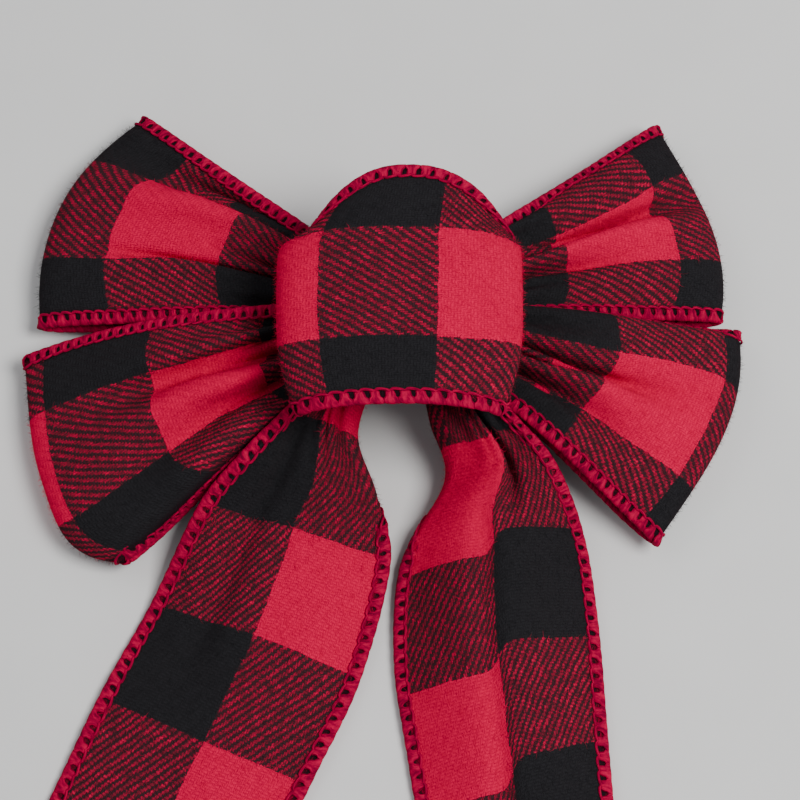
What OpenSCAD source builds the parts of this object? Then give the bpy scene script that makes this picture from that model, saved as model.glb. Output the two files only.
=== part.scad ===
/* [Ribbon] */
// Half the width of the ribbon's cloth, edge to middle
ribbon_half = 31; // [30:0.5:32]
// Thickness of the brushed cloth
cloth_t = 1; // [0.8:0.1:1.1]
// Half the width of the overlocked edge
edging_half_w = 1.6; // [1.4:0.1:1.7]
// Half the thickness of the overlocked edge
edging_half_t = 0.9; // [0.8:0.1:0.9]
// Radius of the wire under each overlocked edge
wire_r = 0.25; // [0.2:0.05:0.3]

/* [Centre loop] */
// Half the width of the centre loop across the knot
centre_half_w = 31.5; // [30:0.5:32]
// Height of the centre loop's underside
centre_low = 26.2; // [26.1:0.1:26.4]
// Height of the centre loop's top
centre_high = 48; // [46:1:50]

/* [Knot] */
// Half the width of the gathered ribbons at the tie
waist_half = 5.5; // [5:0.5:5.5]
// Thickness of the felt behind the knot
felt_t = 1.5; // [1:0.1:1.5]
// Length of the felt behind the knot
felt_l = 50; // [46:1:52]
// Width of the felt behind the knot
felt_w = 22; // [20:1:24]

/* [Clip] */
// Height of the clip's hinge pin
pin_z = 5.6; // [5.6:0.1:5.6]
// Place of the hinge pin along the clip
pin_x = -12; // [-13:1:-11]
// Radius of the hinge pin
pin_r = 0.75; // [0.7:0.05:0.8]
// Running clearance of the lower arm on its pin
pin_gap = 0.05; // [0.03:0.01:0.08]
// Width of the clip's upper arm
clip_w = 9; // [9:0.5:10]
// Thickness of the clip's sheet metal
metal_t = 0.8; // [0.7:0.1:0.8]

/* [Hidden] */
$fn = 32;

red = [0.78, 0.08, 0.18];
crimson = [0.62, 0.04, 0.16];
steel = [0.72, 0.73, 0.75];
felt_grey = [0.13, 0.13, 0.14];

// Grids: rows along the ribbon, columns across it
loop_rows = 12;
centre_rows = 30;
tail_rows = 40;
columns = 6;

// Heights: the felt's top, then each ribbon's layers at the tie
felt_z = 11;
felt_top = felt_z + felt_t;
arm_top = felt_z;
arm_low = arm_top - metal_t;
strap_t = 0.8;
grip_z = arm_low - strap_t - 0.05;
upper_back_z = 14.9;
upper_front_z = 17.1;
lower_back_z = 19.2;
lower_front_z = 21.4;
waist_gap = 1;

// A loop: its fold's corner on the ribbon's top edge, the corner on its bottom edge, how far the
// fold bows outward, the height of its fold, half its depth, how late it sinks, its place on the tie
upper_left = [[-69, 56.5], [-97, -0.5], 9, 7.2, 12, 0.3, 1.4];
upper_right = [[70, 54], [86, 1], 8, 7.2, 12, 0.3, 1.4];
lower_left = [[-101, -16], [-77, -67], 6, 7.2, 12, 0.45, -1.4];
lower_right = [[91, -8.5], [69, -62], 6, 7.2, 12, 0.45, -1.4];

// A tail's stations from the knot: outer edge, inner edge, outer, middle and inner height
left_stations = [
    [[0, 5.5], [0, -6], 23.6, 23.6, 23.6],
    [[-15, -10], [-5, -15], 24.4, 24.4, 24.2],
    [[-28, -28], [-12, -34], 24.2, 24, 20],
    [[-41, -41], [-7, -49], 21.5, 19, 11],
    [[-53, -54], [-4, -67], 14, 12, 6],
    [[-66, -78], [-12, -98], 2.4, 7, 2.4],
    [[-78, -101], [-24, -124], 2.2, 3.6, 2.2],
    [[-90, -128], [-37, -151], 1.6, 1.4, 1.6],
    [[-102, -156], [-49, -179], 1.4, 0.9, 1.4]
];
right_stations = [
    [[0, 5.5], [0, -6], 23.6, 23.6, 23.6],
    [[15, -10], [4, -14], 24.4, 24.4, 24.2],
    [[27, -29], [8, -31], 24, 24, 20],
    [[40, -43], [12, -45], 17, 21, 11],
    [[50, -60], [1, -66], 5, 18, 4],
    [[54, -84], [-1, -93], 2.4, 16, 2.4],
    [[56, -108], [3, -121], 2.2, 12, 2.2],
    [[58, -133], [7, -146], 1.6, 8, 1.6],
    [[60, -160], [10, -174], 1.4, 4, 1.4]
];
notch = 12;

function mix(a, b, share) = a + (b - a) * share;
function clamped(x) = max(0, min(1, x));
function smooth(x) = let (c = clamped(x)) c * c * (3 - 2 * c);
function unit(v) = v / norm(v);
function power(x, exponent) = sign(x) * pow(abs(x), exponent);
function spread(count) = [for (j = [0 : count]) -1 + 2 * j / count];

// A point of a loop; turn runs from 0 at the front of the tie over 180 at the fold to 360 behind
function loop_point(loop, back_z, front_z, turn, across) =
    let (
        side = sign(loop[0][0]),
        reach = (1 - cos(turn)) / 2,
        fan = pow(reach, 1.15),
        fold = (loop[0] + loop[1]) / 2,
        edge = unit(loop[0] - loop[1]),
        outward = [edge[1], -edge[0]] * sign(edge[1] * side),
        corner = mix(loop[1], loop[0], (across + 1) / 2) + loop[2] * (1 - across * across) * outward,
        base = [side * waist_gap, loop[6]],
        plan = base + reach * (fold - base) + fan * (corner - fold)
            + (1 - fan) * [0, across * waist_half],
        middle = mix((back_z + front_z) / 2, loop[3], smooth((reach - loop[5]) / (1 - loop[5]))),
        opening = loop[4] * (1 - 0.3 * across * across) * sin(turn) * pow(sin(turn / 2), 4.5),
        height = middle + opening + (front_z - back_z) / 2 * cos(turn / 2)
    ) [plan[0], plan[1], height];

// Both loops of one ribbon: from behind the tie round the left loop, over the tie, round the right
function loops_grid(left, right, back_z, front_z) =
    let (turns = [for (i = [0 : loop_rows]) 360 * i / loop_rows])
    concat(
        [for (i = [loop_rows : -1 : 0]) [for (t = spread(columns))
            loop_point(left, back_z, front_z, turns[i], t)]],
        [for (i = [0 : loop_rows]) [for (t = spread(columns))
            loop_point(right, back_z, front_z, turns[i], t)]]
    );

// The centre loop; turn is 0 at the top of the tube and goes round to the pinched middle below
function centre_point(turn, across) =
    let (
        top_end = smooth((across - 0.3) / 0.7),
        narrow = 1 - 0.17 * pow(abs(across), 3),
        half_h = (centre_high - centre_low) / 2,
        middle = (centre_high + centre_low) / 2,
        below = smooth((abs(turn) - 115) / 65),
        lean = 3 * top_end,
        x = centre_half_w * narrow * power(sin(turn), 0.85) + lean * cos(turn / 2),
        y = ribbon_half * across * (1 - 0.8 * below) - 9 * top_end * (1 - cos(turn)) / 2 * (1 - below),
        z = middle + half_h * (1 - 0.12 * pow(abs(across), 3) * (1 - below)) * power(cos(turn), 0.75)
    ) [x, y, z];
function centre_grid() =
    [for (i = [0 : centre_rows]) let (turn = -178.5 + 357 * i / centre_rows)
        [for (t = spread(columns)) centre_point(turn, -t)]];

// A smooth curve through a list of values
function curve(values, at) =
    let (
        last = len(values) - 1,
        i = min(floor(at), last - 1),
        f = at - i,
        a = values[max(i - 1, 0)],
        b = values[i],
        c = values[i + 1],
        d = values[min(i + 2, last)]
    ) b + f * ((c - a) / 2 + f * (a - 2.5 * b + 2 * c - d / 2 + f * (1.5 * (b - c) + (d - a) / 2)));
function column(stations, k) = [for (s = stations) s[k]];

// A point of a tail; at counts stations from the knot and across is 1 on the outer edge
function tail_point(stations, at, across) =
    let (
        outer = curve(column(stations, 0), at),
        inner = curve(column(stations, 1), at),
        along = unit(curve(column(stations, 0), at) - curve(column(stations, 0), max(at - 0.5, 0))
            + [0, -0.001]),
        cut = notch * (1 - abs(across)) * smooth(at - (len(stations) - 2)),
        plan = mix(inner, outer, (across + 1) / 2) - cut * along,
        low = mix(curve(column(stations, 4), at), curve(column(stations, 2), at), (across + 1) / 2),
        ends = (curve(column(stations, 4), at) + curve(column(stations, 2), at)) / 2,
        hump = (curve(column(stations, 3), at) - ends) * pow(1 - across * across, 1.5)
    ) [plan[0], plan[1], low + hump];
function tails_grid() =
    let (last = len(left_stations) - 1)
    concat(
        [for (i = [tail_rows / 2 : -1 : 1]) [for (t = spread(columns))
            tail_point(left_stations, last * 2 * i / tail_rows, t)]],
        [for (i = [0 : tail_rows / 2]) [for (t = spread(columns))
            tail_point(right_stations, last * 2 * i / tail_rows, t)]]
    );

function grid_normal(g, i, j) =
    let (
        along = g[min(i + 1, len(g) - 1)][j] - g[max(i - 1, 0)][j],
        over = g[i][min(j + 1, len(g[0]) - 1)] - g[i][max(j - 1, 0)]
    ) unit(cross(along, over));

// Heights above are counted from the surface the bow lies on; the origin is under the clip's strap
module in_frame() { translate([0, 0, -grip_z]) children(); }

// A closed sheet of cloth around a grid
module cloth(g) in_frame() {
    rows = len(g);
    cols = len(g[0]);
    half = cloth_t / 2;
    upper = [for (i = [0 : rows - 1], j = [0 : cols - 1]) g[i][j] + half * grid_normal(g, i, j)];
    under = [for (i = [0 : rows - 1], j = [0 : cols - 1]) g[i][j] - half * grid_normal(g, i, j)];
    n = rows * cols;
    quads = [for (i = [0 : rows - 2], j = [0 : cols - 2]) [i * cols + j, (i + 1) * cols + j,
        (i + 1) * cols + j + 1, i * cols + j + 1]];
    rim = concat(
        [for (i = [0 : rows - 2]) [i * cols, (i + 1) * cols]],
        [for (j = [0 : cols - 2]) [(rows - 1) * cols + j, (rows - 1) * cols + j + 1]],
        [for (i = [rows - 1 : -1 : 1]) [i * cols + cols - 1, (i - 1) * cols + cols - 1]],
        [for (j = [cols - 1 : -1 : 1]) [j, j - 1]]
    );
    faces = concat(
        [for (q = quads) [q[0], q[3], q[2]]],
        [for (q = quads) [q[0], q[2], q[1]]],
        [for (q = quads) [n + q[0], n + q[1], n + q[2]]],
        [for (q = quads) [n + q[0], n + q[2], n + q[3]]],
        [for (r = rim) [r[0], r[1], n + r[1]]],
        [for (r = rim) [r[0], n + r[1], n + r[0]]]
    );
    polyhedron(concat(upper, under), faces, convexity = 6);
}

// A tube along points, flattened across the given directions
module tube(path, sideways, half_w, half_t, sides) {
    n = len(path);
    rings = [for (i = [0 : n - 1])
        let (
            forward = unit(path[min(i + 1, n - 1)] - path[max(i - 1, 0)]),
            square = unit(sideways[i] - forward * (sideways[i] * forward)),
            normal = cross(forward, square)
        )
        for (k = [0 : sides - 1]) let (a = 360 * (k + 0.5) / sides)
            path[i] + half_w * cos(a) * square + half_t * sin(a) * normal];
    walls = [for (i = [0 : n - 2], k = [0 : sides - 1]) let (next = (k + 1) % sides)
        [i * sides + k, (i + 1) * sides + k, (i + 1) * sides + next, i * sides + next]];
    ends = [
        [for (k = [0 : sides - 1]) k],
        [for (k = [sides - 1 : -1 : 0]) (n - 1) * sides + k]
    ];
    triangles = [for (q = walls, half = [0, 1]) half == 0 ? [q[0], q[1], q[2]] : [q[0], q[2], q[3]]];
    polyhedron(rings, concat(triangles, ends), convexity = 6);
}

// What runs along both long edges of a grid of cloth
module along_edges(g, half_w, half_t, sides, inset) in_frame() {
    last = len(g[0]) - 1;
    for (j = [0, last]) {
        beside = j == 0 ? 1 : last - 1;
        sideways = [for (row = g) unit(row[beside] - row[j])];
        path = [for (i = [0 : len(g) - 1]) g[i][j] + inset * sideways[i]];
        tube(path, sideways, half_w, half_t, sides);
    }
}

upper_grid = loops_grid(upper_left, upper_right, upper_back_z, upper_front_z);
lower_grid = loops_grid(lower_left, lower_right, lower_back_z, lower_front_z);
tail_grid = tails_grid();
centre_loop_grid = centre_grid();

module upper_loops() { color(red) cloth(upper_grid); }
module lower_loops() { color(red) cloth(lower_grid); }
module tails() { color(red) cloth(tail_grid); }
module centre_loop() { color(red) cloth(centre_loop_grid); }
module edging(g) { color(crimson) along_edges(g, edging_half_w, edging_half_t, 6, 0.6); }
module wires(g) { color(steel) along_edges(g, wire_r, wire_r, 4, 0.6); }
module upper_loops_edging() { edging(upper_grid); }
module lower_loops_edging() { edging(lower_grid); }
module tails_edging() { edging(tail_grid); }
module centre_loop_edging() { edging(centre_loop_grid); }
module upper_loops_wires() { wires(upper_grid); }
module lower_loops_wires() { wires(lower_grid); }
module tails_wires() { wires(tail_grid); }
module centre_loop_wires() { wires(centre_loop_grid); }

// Three turns of wire side by side round the gathered ribbons
tie_wire_w = 0.9;
tie_half_y = 11.2;
tie_low = felt_top + 0.3;
tie_high = centre_low + 2.2;
module tie_turn() in_frame() {
    rotate([90, 0, 90]) linear_extrude(tie_wire_w, center = true)
        translate([0, (tie_low + tie_high) / 2]) difference() {
            square([2 * tie_half_y, tie_high - tie_low], center = true);
            square([2 * tie_half_y - 2 * tie_wire_w, tie_high - tie_low - 2 * tie_wire_w], center = true);
        }
}
module tie_wire() {
    color(steel) for (x = [-1.1, 0, 1.1]) translate([x, 0, 0]) tie_turn();
}

// A flattened bead of glue between the tie and the felt
module glue_pad() {
    color("ivory") in_frame() translate([0, 0, felt_top]) cylinder(h = tie_low - felt_top, r = 8);
}

module backing_felt() {
    end_r = felt_w / 2;
    color(felt_grey) in_frame() translate([0, 0, felt_z]) linear_extrude(felt_t) union() {
        square([felt_l - felt_w, felt_w], center = true);
        for (s = [-1, 1]) translate([s * (felt_l - felt_w) / 2, 0]) circle(end_r, $fn = 64);
    }
}

// A felt strip under the clip's upper arm, with a tab on each side against the backing
strap_w = 12;
strap_x = 0;
module clip_strap() {
    inner = clip_w / 2 + 0.1;
    low = grip_z;
    outline = [
        [-inner - strap_t - 3, arm_top], [-inner - strap_t - 3, arm_top - strap_t],
        [-inner - strap_t, arm_top - strap_t], [-inner - strap_t, low], [inner + strap_t, low],
        [inner + strap_t, arm_top - strap_t], [inner + strap_t + 3, arm_top - strap_t],
        [inner + strap_t + 3, arm_top], [inner, arm_top], [inner, low + strap_t],
        [-inner, low + strap_t], [-inner, arm_top]
    ];
    color(felt_grey) in_frame() translate([strap_x, 0, 0]) rotate([90, 0, 90])
        linear_extrude(strap_w, center = true) polygon(outline);
}

// The clip lies along X with its jaws at +X and its levers at -X
jaw_x = 29;
lever_x = -29;
jaw_z = 5.2;
teeth = 4;
ear_t = 0.6;
ear_r = 2.4;
lower_w = 6.6;
module tooth_row(w, base, tip) {
    step = w / teeth;
    rotate([90, 0, 90]) linear_extrude(metal_t) polygon(concat(
        [[-w / 2, base]],
        [for (i = [0 : 2 * teeth]) [-w / 2 + i * step / 2, i % 2 == 0 ? mix(base, tip, 0.35) : tip]],
        [[w / 2, base]]
    ));
}
// Two ears with a hole for the pin, hanging from or standing on a plate at plate_z
module ears(inside, plate_z, hole_r) {
    for (s = [-1, 1]) translate([pin_x, s * (inside + ear_t / 2), 0]) rotate([90, 0, 0])
        linear_extrude(ear_t, center = true) difference() {
            union() {
                translate([0, pin_z]) circle(ear_r);
                translate([-ear_r, min(pin_z, plate_z)]) square([2 * ear_r, abs(plate_z - pin_z)]);
            }
            translate([0, pin_z]) circle(hole_r);
        }
}
module clip_upper_arm() {
    color(steel) in_frame() union() {
        translate([lever_x, -clip_w / 2, arm_low]) cube([jaw_x - lever_x, clip_w, metal_t]);
        ears(clip_w / 2 - ear_t, arm_low + 0.1, pin_r);
        translate([jaw_x - metal_t, 0, 0]) tooth_row(clip_w, arm_low + 0.1, jaw_z - 0.1);
    }
}
module clip_lower_arm() {
    inside = clip_w / 2 - 2 * ear_t - 0.25;
    profile = [
        [lever_x + 0.6, 0], [lever_x + 0.6, metal_t], [pin_x - 3.4, 2.9], [pin_x + 3.4, 2.9],
        [2, jaw_z - metal_t + 0.4], [jaw_x, jaw_z - 0.2], [jaw_x, jaw_z - 0.2 - metal_t],
        [2, jaw_z - 2 * metal_t + 0.4], [pin_x + 3.4, 2.9 - metal_t], [pin_x - 3.4, 2.9 - metal_t]
    ];
    color(steel) in_frame() union() {
        rotate([90, 0, 0]) linear_extrude(lower_w, center = true) polygon(profile);
        ears(inside, 2.7, pin_r + pin_gap);
    }
}
module clip_pin() {
    head_t = 0.5;
    color(steel) in_frame() translate([pin_x, 0, pin_z]) rotate([90, 0, 0]) union() {
        cylinder(h = clip_w, r = pin_r, center = true);
        for (s = [-1, 1]) translate([0, 0, s * (clip_w / 2 + head_t / 2)])
            cylinder(h = head_t, r = 1.3, center = true);
    }
}

// A torsion spring: a coil round the pin and a leg out towards each lever
coil_r = 1.35;
spring_r = 0.3;
coil_turns = 4;
coil_steps = 12;
coil_half = 1.9;
function coil_point(turn) = [
    pin_x + coil_r * sin(turn),
    -coil_half + 2 * coil_half * turn / (360 * coil_turns + 180),
    pin_z + coil_r * cos(turn)
];
module clip_spring() {
    last_turn = 360 * coil_turns + 180;
    count = coil_steps * coil_turns + coil_steps / 2;
    path = concat(
        [[pin_x - 11, -coil_half, 9.85], [pin_x - 4, -coil_half, pin_z + 2.4]],
        [for (i = [0 : count]) coil_point(last_turn * i / count)],
        [[pin_x - 4, coil_half, pin_z - 1.5], [pin_x - 11, coil_half, 2.1]]
    );
    color(steel) in_frame() tube(path, [for (p = path) [0, 1, 0]], spring_r, spring_r, 6);
}

upper_loops();
lower_loops();
tails();
centre_loop();
upper_loops_edging();
lower_loops_edging();
tails_edging();
centre_loop_edging();
upper_loops_wires();
lower_loops_wires();
tails_wires();
centre_loop_wires();
tie_wire();
glue_pad();
backing_felt();
clip_strap();
clip_upper_arm();
clip_lower_arm();
clip_pin();
clip_spring();
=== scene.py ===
"""A puffy check flannel hair bow: four ribbons with overlocked edges, the knot, the felt and the clip."""

import math

import bpy
import numpy as np
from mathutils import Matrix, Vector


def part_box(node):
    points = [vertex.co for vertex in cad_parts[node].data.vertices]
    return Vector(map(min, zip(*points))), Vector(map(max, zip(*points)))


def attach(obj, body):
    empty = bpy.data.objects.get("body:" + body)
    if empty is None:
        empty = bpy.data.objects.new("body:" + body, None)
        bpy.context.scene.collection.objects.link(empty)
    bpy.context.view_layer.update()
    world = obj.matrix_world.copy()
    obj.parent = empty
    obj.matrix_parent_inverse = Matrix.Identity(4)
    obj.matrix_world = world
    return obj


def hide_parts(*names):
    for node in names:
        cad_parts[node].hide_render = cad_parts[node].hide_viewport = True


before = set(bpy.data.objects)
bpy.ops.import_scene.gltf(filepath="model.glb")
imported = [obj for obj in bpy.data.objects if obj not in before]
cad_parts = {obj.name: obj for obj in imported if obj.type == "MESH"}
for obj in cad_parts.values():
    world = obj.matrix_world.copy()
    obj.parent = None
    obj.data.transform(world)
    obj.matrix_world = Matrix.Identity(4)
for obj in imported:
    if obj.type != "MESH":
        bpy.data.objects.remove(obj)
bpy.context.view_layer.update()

MM = 0.001
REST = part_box("clip_lower_arm")[0].z  # the surface that the bow lies on
RIBBON_HALF = 31 * MM  # half the ribbon's width
LANE = 29.5 * MM  # a check across the ribbon
BAND = 31.3 * MM  # a check along the ribbon
CLOTH_T = 0.9 * MM
WAIST_HALF = 5.5 * MM  # half the gathered width at the tie
WAIST_GAP = 1 * MM  # from the tie's middle to where a loop begins
WARP_STEP = 0.545 * MM  # one thread across the ribbon
WEFT_STEP = 0.88 * MM  # one thread along the ribbon
HAIRS_PER_MM2 = 1.2
LOOP_PITCH = 3.1 * MM  # one overlock stitch on the loops
TAIL_PITCH = 3.9 * MM  # one overlock stitch on the tails and the centre loop
EDGE_WIRE_RADIUS = 0.2 * MM
TIE_RADIUS = 0.42 * MM
TIE_TURNS = 3
STRAP_T = 0.8 * MM
SPRING_RADIUS = 0.3 * MM

# -------------------- shapes as arrays


def smooth(x):
    """0 below 0, 1 above 1, and 3x^2 - 2x^3 between."""
    c = np.clip(x, 0, 1)
    return c * c * (3 - 2 * c)


def signed_power(x, exponent):
    """The power of a number's size, with the number's sign."""
    return np.sign(x) * np.abs(x) ** exponent


def unit(v):
    """Vectors along the last axis brought to length 1."""
    return v / np.maximum(np.linalg.norm(v, axis=-1, keepdims=True), 1e-12)


def curve(values, at):
    """A Catmull-Rom curve through a list of values, at places counted in stations."""
    values = np.asarray(values, float)
    last = len(values) - 1
    i = np.minimum(np.floor(at).astype(int), last - 1)
    f = (at - i).reshape(at.shape + (1,) * (values.ndim - 1))
    a, b, c, d = (values[np.clip(i + k, 0, last)] for k in (-1, 0, 1, 2))
    return b + f * ((c - a) / 2 + f * (a - 2.5 * b + 2 * c - d / 2 + f * (1.5 * (b - c) + (d - a) / 2)))


def ridge(across, place, width):
    """A rounded ridge: a Gaussian over the ribbon's width."""
    return np.exp(-(((across - place) / width) ** 2))


def ripple(u, v, size, seed):
    """Soft unevenness: a sum of five slanted sine waves with seeded directions and phases."""
    rng = np.random.default_rng(seed)
    total = 0
    for k in range(5):
        angle, phase = rng.uniform(0, math.pi), rng.uniform(0, 2 * math.pi)
        wave = 2 * math.pi * (0.7 + 0.35 * k) / size
        total = total + np.sin(wave * (u * math.cos(angle) + v * math.sin(angle)) + phase) / (1 + 0.6 * k)
    return total / 2.2


def gathers(reach, across, deep, far, seed):
    """Small pleats that the tie draws the cloth into: a sine over the width, uneven in its spacing,
    which rises just beside the tie and dies out by the far end."""
    phase = across + 0.07 * np.sin(4.3 * across + seed) + 0.04 * np.sin(9.1 * across + 2 * seed)
    rise = smooth(reach / 0.05) * (1 - smooth((reach - 0.08) / (far - 0.08))) ** 0.8
    return deep * rise * np.sin(2 * math.pi * 2.6 * phase + seed)


def path_lengths(path):
    """Running length along a row of points."""
    return np.concatenate([[0], np.cumsum(np.linalg.norm(np.diff(path, axis=0), axis=1))])


def arc_lengths(grid):
    """Running length down each column of a grid of points."""
    steps = np.linalg.norm(np.diff(grid, axis=0), axis=2)
    return np.vstack([np.zeros(grid.shape[1]), np.cumsum(steps, axis=0)])


def normals(grid):
    """Unit normals of a grid, from the cross product of its two directions."""
    return unit(np.cross(np.gradient(grid, axis=0), np.gradient(grid, axis=1)))


# -------------------- meshes from arrays


def mesh_piece(name, points, faces, coordinates=None, rounded=True):
    """An object from points and a list of faces, with optional UV coordinates per point."""
    mesh = bpy.data.meshes.new(name)
    mesh.from_pydata(points.reshape(-1, 3).tolist(), [], faces)
    if coordinates is not None:
        layer = mesh.uv_layers.new(name="Cloth")
        corners = np.empty(len(mesh.loops), dtype=np.int32)
        mesh.loops.foreach_get("vertex_index", corners)
        layer.data.foreach_set("uv", coordinates.reshape(-1, 2)[corners].astype(np.float32).ravel())
    mesh.polygons.foreach_set("use_smooth", np.full(len(mesh.polygons), rounded))
    mesh.update()
    piece = bpy.data.objects.new(name, mesh)
    bpy.context.scene.collection.objects.link(piece)
    return piece


def grid_faces(rows, columns):
    """Quads of an open grid whose points run row by row."""
    i, j = np.meshgrid(np.arange(rows - 1), np.arange(columns - 1), indexing="ij")
    a = i * columns + j
    return np.stack([a, a + columns, a + columns + 1, a + 1], axis=-1).reshape(-1, 4)


def tube_faces(rows, columns):
    """Quads of a grid that closes on itself along each row."""
    i, k = np.meshgrid(np.arange(rows - 1), np.arange(columns), indexing="ij")
    a, b = i * columns + k, i * columns + (k + 1) % columns
    return np.stack([a, b, b + columns, a + columns], axis=-1).reshape(-1, 4)


def cloth_piece(name, grid, u, v):
    """A ribbon from a grid of points and its cloth coordinates in metres, thickened to the cloth's
    depth. A point attribute marks the rim that the stitches cover, where the cloth gets painted shade."""
    rows, columns = grid.shape[:2]
    piece = mesh_piece(name, grid, grid_faces(rows, columns).tolist(), np.stack([u, v], axis=-1))
    # the rim under the stitches, which the flannel material darkens as painted shade of the overlock
    # stitches
    rim = np.broadcast_to(smooth((np.abs(np.linspace(-1, 1, columns)) - 0.9) / 0.03), (rows, columns))
    painted_stitch_shade = piece.data.attributes.new("painted stitch shade", "FLOAT", "POINT")
    painted_stitch_shade.data.foreach_set("value", rim.astype(np.float32).ravel())
    solid = piece.modifiers.new("cloth depth", "SOLIDIFY")
    solid.thickness = CLOTH_T
    solid.offset = 0
    return piece


def tube_arrays(path, side, over, half_w, half_t, sides):
    """Points, quads and cloth coordinates of an open-ended tube: on each point of the path an ellipse
    of half_w along side and half_t along over."""
    n = len(path)
    angle = 2 * math.pi * np.arange(sides) / sides
    half_w = np.broadcast_to(half_w, n).reshape(n, 1, 1)
    half_t = np.broadcast_to(half_t, n).reshape(n, 1, 1)
    ring = (
        path[:, None, :]
        + half_w * np.cos(angle)[None, :, None] * side[:, None, :]
        + half_t * np.sin(angle)[None, :, None] * over[:, None, :]
    )
    around = np.broadcast_to(np.arange(sides) / sides * 4 * MM, (n, sides))
    along = np.broadcast_to(path_lengths(path)[:, None], (n, sides))
    place = np.stack([along, around], axis=-1)
    return ring.reshape(-1, 3), tube_faces(n, sides), place.reshape(-1, 2)


def tube_piece(name, parts):
    """One object from several tubes, their face numbers moved along."""
    points, faces, coordinates = zip(*parts)
    starts = np.cumsum([0] + [len(p) for p in points[:-1]])
    faces = np.concatenate([f + start for f, start in zip(faces, starts)])
    return mesh_piece(name, np.concatenate(points), faces.tolist(), np.concatenate(coordinates))


def free_tube(path, radius, sides, reference):
    """A round tube along a path; reference is any direction that the path never takes."""
    forward = unit(np.gradient(path, axis=0))
    side = unit(np.cross(forward, np.broadcast_to(reference, path.shape)))
    over = np.cross(forward, side)
    return tube_arrays(path, side, over, radius, radius, sides)


# -------------------- the ribbons' shapes

# A loop: top and bottom are its fold's corners, and bow is how far the fold bows outward, more
# towards one corner by skew, and fuller below by low_power. height is the fold's height, half its
# half depth, late how late it sinks from the knot, seat its place on the tie, and fold_u the length
# along the cloth at the fold. arch lifts the top edge, and rolled and rolled_low are the shares of
# the width that roll under at the top and bottom. pleats are (place across, height, width, reach).
UPPER_LEFT = dict(
    top=(-72, 60.5), bottom=(-98.5, -0.5), bow=10,
    height=7.2, half=12, late=0.3, seat=1.4, fold_u=-21,
    pleats=[
        (0.66, -8.5, 0.2, 1.1), (0.24, 3.4, 0.16, 1.05),
        (-0.36, -4.0, 0.08, 1.0), (-0.52, 1.6, 0.1, 0.9),
    ],
)
UPPER_RIGHT = dict(
    top=(71.5, 58), bottom=(87, 1), bow=5.5, skew=-0.45,
    height=7.2, half=12, late=0.3, seat=1.4, fold_u=46.3,
    pleats=[
        (0.2, -9.5, 0.17, 1.25), (0.75, 3.5, 0.25, 1.1),
        (-0.12, 2.6, 0.12, 1.0), (-0.42, -3.0, 0.1, 0.9),
    ],
)
LOWER_LEFT = dict(
    top=(-102.5, -10.4), bottom=(-73.5, -67), bow=10, skew=-0.45, low_power=4, arch=2.6,
    height=7.2, half=12, late=0.45, seat=-1.4, fold_u=24.3, rolled_low=0.1,
    pleats=[
        (0.3, -4.6, 0.16, 1.0), (0.62, 2.5, 0.16, 0.9), (-0.45, -4.4, 0.18, 0.95),
        (-0.05, 3.0, 0.16, 0.9), (-0.8, 1.8, 0.1, 0.8),
    ],
)
LOWER_RIGHT = dict(
    top=(91.8, -2.9), bottom=(68, -61.5), bow=6, skew=0.45,
    height=7.2, half=12, late=0.45, seat=-1.4, fold_u=38.8, rolled=0.11,
    pleats=[
        (0.5, 2.4, 0.2, 0.8), (0.12, -5.5, 0.13, 1.0),
        (-0.15, 2.4, 0.12, 0.85), (-0.5, -4.6, 0.16, 0.95),
    ],
)

# A tail's stations from the knot: outer edge, inner edge, then outer, middle and inner height
LEFT_TAIL = [
    ((0, 5.5), (0, -6), (23.6, 23.6, 23.6)),
    ((-15, -10), (-5, -15), (24.4, 24.4, 24.2)),
    ((-28, -28), (-12, -34), (24.2, 24, 20)),
    ((-41, -41), (-7, -49), (21.5, 19, 11)),
    ((-53, -54), (-4, -67), (14, 12, 6)),
    ((-66, -78), (-12, -98), (2.4, 7, 2.4)),
    ((-78, -101), (-24, -124), (2.2, 3.6, 2.2)),
    ((-90, -128), (-37, -151), (1.6, 1.4, 1.6)),
    ((-102, -156), (-49, -179), (1.4, 0.9, 1.4)),
]
RIGHT_TAIL = [
    ((0, 5.5), (0, -6), (23.6, 23.6, 23.6)),
    ((15, -10), (4, -14), (24.4, 24.4, 24.2)),
    ((27, -29), (8, -31), (24, 24, 20)),
    ((40, -43), (12, -45), (17, 21, 11)),
    ((48, -60), (1, -66), (5, 18, 4)),
    ((51.5, -84), (-1, -93), (2.4, 16, 2.4)),
    ((53, -108), (3, -121), (2.2, 12, 2.2)),
    ((54.5, -133), (7, -146), (1.6, 8, 1.6)),
    ((56.5, -160), (10, -174), (1.4, 4, 1.4)),
]
NOTCH = 12
# each tail: its stations, the way that its cloth runs, where its rolled edge opens, its lengthwise
# valleys as (place across, depth, width, first station, last station), and where a band begins
LEFT_VALLEYS = [(0.45, 3.0, 0.16, 1.5, 4.5), (-0.75, 0.8, 0.15, 5, 7)]
RIGHT_VALLEYS = [(0.22, 6, 0.16, 1.0, 2.8), (-0.1, 2.2, 0.15, 3.0, 8.5), (0.8, -1.5, 0.2, 1.5, 4.0)]
TAILS = (
    (LEFT_TAIL, -1, 3.9, LEFT_VALLEYS, 3.95),
    (RIGHT_TAIL, 1, 4.1, RIGHT_VALLEYS, 4.05),
)
# how far the right tail's cloth shifts along itself at its crease, and how wide that shift is
CREASE_SLIP, CREASE_WIDTH = 3.6, 0.08
# the radius of a rolled edge on a loop and on a tail, and the share of a tail's width that rolls
LOOP_CURL, TAIL_CURL, TAIL_CURL_SHARE = 3.0, 3.2, 0.16
# the centre loop: half its width over the knot, its underside and top, half its breadth along the
# tails, and how far it sits towards the tails and aside
CENTRE_HALF_W, CENTRE_LOW, CENTRE_HIGH = 32, 26.2, 48
CENTRE_HALF, CENTRE_LOWER, CENTRE_ASIDE = 32, 2.5, 0.5
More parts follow.
